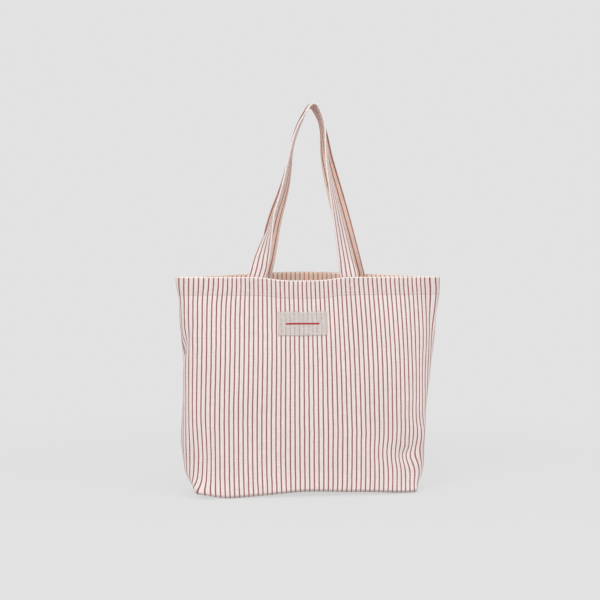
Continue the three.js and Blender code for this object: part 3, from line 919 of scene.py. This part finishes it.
# ---- sewing thread: a stitch's length, the gap to the next, and the thread's width and height ----
TOPSTITCH = dict(stitch=0.0029, gap=0.0010, width=0.00055, height=0.0004)
OVERLOCK = dict(stitch=0.0038, gap=0.0002, width=0.0006, height=0.0005)
RUNNING_STITCH = dict(stitch=0.0022, gap=0.0012, width=0.0006, height=0.0005)
SATIN_STITCH = dict(stitch=0.0028, gap=0.0, width=0.0009, height=0.0008)
THREAD_LIFT = 0.00012
BOX_INSET, STRAP_EDGE_INSET, LABEL_EDGE_INSET = 0.0035, 0.0022, 0.0018
BAR_WIDTH, BAR_PITCH, BAR_SLANT = 0.051, 0.0007, 0.0002


def sewn(name, rows, thread, stitch, gap, width, height):
    """Stitches lying on the cloth. Each row is a line of points with the way out of the cloth at
    each, and has as many stitches as fit. A stitch is a small spindle, pointed at both ends."""
    found = []
    for points, outward in rows:
        gone = run_along(points)
        count = max(1, round(gone[-1] / (stitch + gap)))
        reach = min(stitch, gone[-1]) / 2
        middle = (np.arange(count) + 0.5) * gone[-1] / count
        places = (middle - reach, middle, middle + reach)
        start, at, end = (between(place, gone, points) for place in places)
        found.append(np.stack([at, end - start, between(middle, gone, outward)], 1))
    at, run, out = (part[:, None] for part in np.concatenate(found).transpose(1, 0, 2))
    side = width * unit(np.cross(out, run))
    out = height * unit(np.cross(run, side))

    bm = bmesh.new()
    bmesh.ops.create_uvsphere(bm, u_segments=6, v_segments=4, radius=0.5)
    for cell in bm.faces:
        cell.smooth = True
    # Read back from a mesh, so that copies come in the order of their originals.
    one = bpy.data.meshes.new("stitch")
    bm.to_mesh(one)
    bm.free()
    bm = bmesh.new()
    bm.from_mesh(one)
    bpy.data.meshes.remove(one)
    spindle = np.array([v.co for v in bm.verts])
    made, wanted = 1, len(at)
    while made < wanted:
        more = min(made, wanted - made)
        parts = (bm.verts, bm.edges, bm.faces)
        copied = [item for part in parts for item in part[: len(part) * more // made]]
        bmesh.ops.duplicate(bm, geom=copied)
        made += more
    placed = at + spindle[:, :1] * side + spindle[:, 1:2] * out + spindle[:, 2:] * run
    for vert, point in zip(bm.verts, placed.reshape(-1, 3)):
        vert.co = point
    return as_object(bm, name, [thread])


def stood_out(near, far):
    """A row for stitches: its points, and the way out of the cloth at each."""
    return near, unit(far - near)


def line_on(face, along, height, out):
    """A row on one side of the bag; out is below 0 on the inside."""
    share = height / face.rim_height(along)
    return stood_out(on_cloth(face, along, share, out), on_cloth(face, along, share, out * 1.5))


def sew_hem(face):
    """One row holds the hem, and shows on both sides of the cloth. The sewn ends of the handle are
    held by a box and a cross, which show on the outside too."""
    along = np.linspace(-PANEL_WIDTH / 2 + 0.002, PANEL_WIDTH / 2 - 0.002, 500)
    height = face.rim_height(along) - HEM_DEPTH + HEM_STITCH_INSET
    outer, inner = CLOTH / 2 + THREAD_LIFT, -HEM_OFFSET - HEM_THICKNESS / 2 - THREAD_LIFT
    rows = [line_on(face, along, height, outer), line_on(face, along, height, inner)]
    wide, low, high = STRAP_WIDTH / 2 - BOX_INSET, FOOT_LENGTH - BOX_INSET, 0.0040
    corners = ((-wide, low), (wide, low), (wide, high), (-wide, high), (-wide, low), (wide, high))
    for middle in (face.handle_shift - HANDLE_SPACING / 2, face.handle_shift + HANDLE_SPACING / 2):
        for start, end in (*zip(corners, corners[1:]), (corners[1], corners[3])):
            along = middle + np.linspace(start[0], end[0], 12)
            height = face.rim_height(along) - np.linspace(start[1], end[1], 12)
            rows.append(line_on(face, along, height, outer))
    thread = sewn(face.name + "_hem_thread", rows, THREAD, **TOPSTITCH)
    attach(thread, "bag")


def sew_strap(face):
    """The strap's two edge rows, and the cross that holds its ends to the hem."""
    strap = STRAPS[face.name]
    last = len(strap.middle) - 1

    def row(steps, across, away):
        across = np.broadcast_to(across, steps.shape)
        outs = (np.full(steps.shape, out) for out in (away, away * 2))
        return stood_out(*(strap.place(steps, across, out) for out in outs))

    edge, surface = STRAP_WIDTH / 2 - STRAP_EDGE_INSET, 0.00136
    rows = [
        row(np.linspace(0.6, last - 0.6, 800), across, away)
        for across in (-edge, edge)
        for away in (-surface, surface)
    ]
    wide, inner = STRAP_WIDTH / 2 - BOX_INSET, -STRAP_THICKNESS / 2 - 0.0001
    over = np.linspace(-wide, wide, 12)
    for low, high in ((1.2, END_STEPS - 0.9), (last - 1.2, last - END_STEPS + 0.9)):
        up = np.linspace(low, high, 12)
        rows += [row(up, over, inner), row(up, -over, inner)]
        rows += [row(np.full(12, end), over, inner) for end in (low, high)]
    thread = sewn(face.name + "_strap_thread", rows, THREAD, **TOPSTITCH)
    with_strap(thread, face)


def sew_label():
    """A running stitch round its edge, and a plain bar of satin stitches across its middle."""

    def row(start, end, out):
        t = np.linspace(0, 1, 40)
        along, up = (a + (b - a) * t for a, b in zip(start, end))
        return stood_out(*(label_place(along, up, away) for away in (out, out + 0.001)))

    wide, low = LABEL_WIDTH / 2 - LABEL_EDGE_INSET, LABEL_EDGE_INSET
    high = LABEL_HEIGHT - low
    corners = ((-wide, low), (wide, low), (wide, high), (-wide, high), (-wide, low))
    edge = [row(*side, LABEL_THICKNESS + 0.00025) for side in zip(corners, corners[1:])]
    middle, half = LABEL_HEIGHT / 2, SATIN_STITCH["stitch"] / 2
    bar = []
    for place in np.arange(-BAR_WIDTH / 2, BAR_WIDTH / 2, BAR_PITCH):
        start, end = (place - BAR_SLANT, middle - half), (place + BAR_SLANT, middle + half)
        bar.append(row(start, end, LABEL_THICKNESS + 0.0001))
    running = sewn("label_thread", edge, THREAD, **RUNNING_STITCH)
    satin = sewn("label_satin_bar", bar, RED_THREAD, **SATIN_STITCH)
    for piece in (running, satin):
        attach(piece, "bag")


# ---- the bag ----
for bag_face in (FRONT, BACK):
    for make in (make_panel, make_hem, make_strap, sew_hem, sew_strap):
        make(bag_face)
make_label()
sew_label()
for side, name in ((-1, "left"), (1, "right")):
    make_seam(name + "_side_seam", side_seam, side, SEAM_HIGH - SEAM_LOW)
    make_seam(name + "_corner_seam", corner_seam, side, CORNER_SEAM)
make_seam("bottom_seam", bottom_seam, 0, BOTTOM_SEAM)

# ---- camera, light and ground ----
BACKGROUND = linear("#E2E2E2")
CAMERA_TARGET, CAMERA_DISTANCE, LENS = Vector((-0.0141, 0.0018, 0.2922)), 2.0, 78.6
CAMERA_AZIMUTH, CAMERA_ELEVATION = math.radians(-8), math.radians(2)
# Soft round lamps: (name, place, what it points at, size, watts).
LAMPS = (
    ("key", (-1.6, -2.2, 1.9), (0, 0, 0.25), 1.6, 26),
    ("fill", (1.9, -1.8, 0.9), (0, 0, 0.25), 1.8, 9),
    ("top", (0.2, -0.7, 2.4), (0, 0, 0.3), 1.6, 11),
)
FLOOR_RADIUS, FLOOR_LEVEL = 3.0, -0.0006


def put(name, data, place, aim):
    """Places a camera or lamp so that it looks at a point."""
    made = bpy.data.objects.new(name, data)
    made.location = place
    made.rotation_euler = (Vector(aim) - Vector(place)).to_track_quat("-Z", "Y").to_euler()
    bpy.context.scene.collection.objects.link(made)
    return made


def set_view():
    bpy.context.scene.view_settings.view_transform = "Standard"
    level = math.cos(CAMERA_ELEVATION)
    x, y = math.sin(CAMERA_AZIMUTH) * level, -math.cos(CAMERA_AZIMUTH) * level
    place = CAMERA_TARGET + Vector((x, y, math.sin(CAMERA_ELEVATION))) * CAMERA_DISTANCE
    lens = bpy.data.cameras.new("camera")
    lens.lens = LENS
    bpy.context.scene.camera = put("camera", lens, place, CAMERA_TARGET)


def light_studio():
    world = bpy.data.worlds.new("studio")
    bpy.context.scene.world = world
    world.use_nodes = True
    tree = world.node_tree
    tree.nodes.clear()
    path = add(tree, "LightPath").outputs
    rays = {0: path["Is Glossy Ray"], 1: path["Is Transmission Ray"]}
    clear = add(tree, MATH, rays, operation="MAXIMUM")
    seen = add(tree, MATH, {0: path["Is Camera Ray"], 1: clear}, operation="MAXIMUM")
    dome = add(tree, "Background", {"Color": (1, 1, 1, 1), "Strength": 0.66})
    plain = add(tree, "Background", {"Color": BACKGROUND, "Strength": 1.0})
    both = add(tree, "MixShader", {0: seen, 1: dome, 2: plain})
    add(tree, "OutputWorld", {"Surface": both})
    for name, place, aim, size, power in LAMPS:
        lamp = bpy.data.lights.new(name, "AREA")
        lamp.shape, lamp.size, lamp.energy = "DISK", size, power
        put(name, lamp, place, aim)


def lay_floor():
    matt, tree = new_material("matt_grey_floor")
    path = add(tree, "LightPath").outputs
    paint = add(tree, "BsdfDiffuse", {"Color": BACKGROUND})
    glow = add(tree, "Emission", {"Color": BACKGROUND})
    # Far from the bag the floor runs into the background.
    place = add(tree, "TexCoord").outputs["Object"]
    distance = add(tree, VECTOR, {0: place}, operation="LENGTH")
    evened = add(tree, RANGE, {0: distance, 1: 0.35, 2: 1.1, 3: 0.8, 4: 1.0}, **SOFT)
    glowing = add(tree, MATH, {0: path["Is Camera Ray"], 1: evened}, operation="MULTIPLY")
    shown = add(tree, "MixShader", {0: glowing, 1: paint, 2: glow})
    add(tree, "OutputMaterial", {"Surface": shown})
    bm = bmesh.new()
    bmesh.ops.create_circle(bm, cap_ends=True, segments=96, radius=FLOOR_RADIUS)
    bmesh.ops.translate(bm, verts=bm.verts, vec=(0, 0, FLOOR_LEVEL))
    as_object(bm, "floor", [matt])


set_view()
light_studio()
lay_floor()
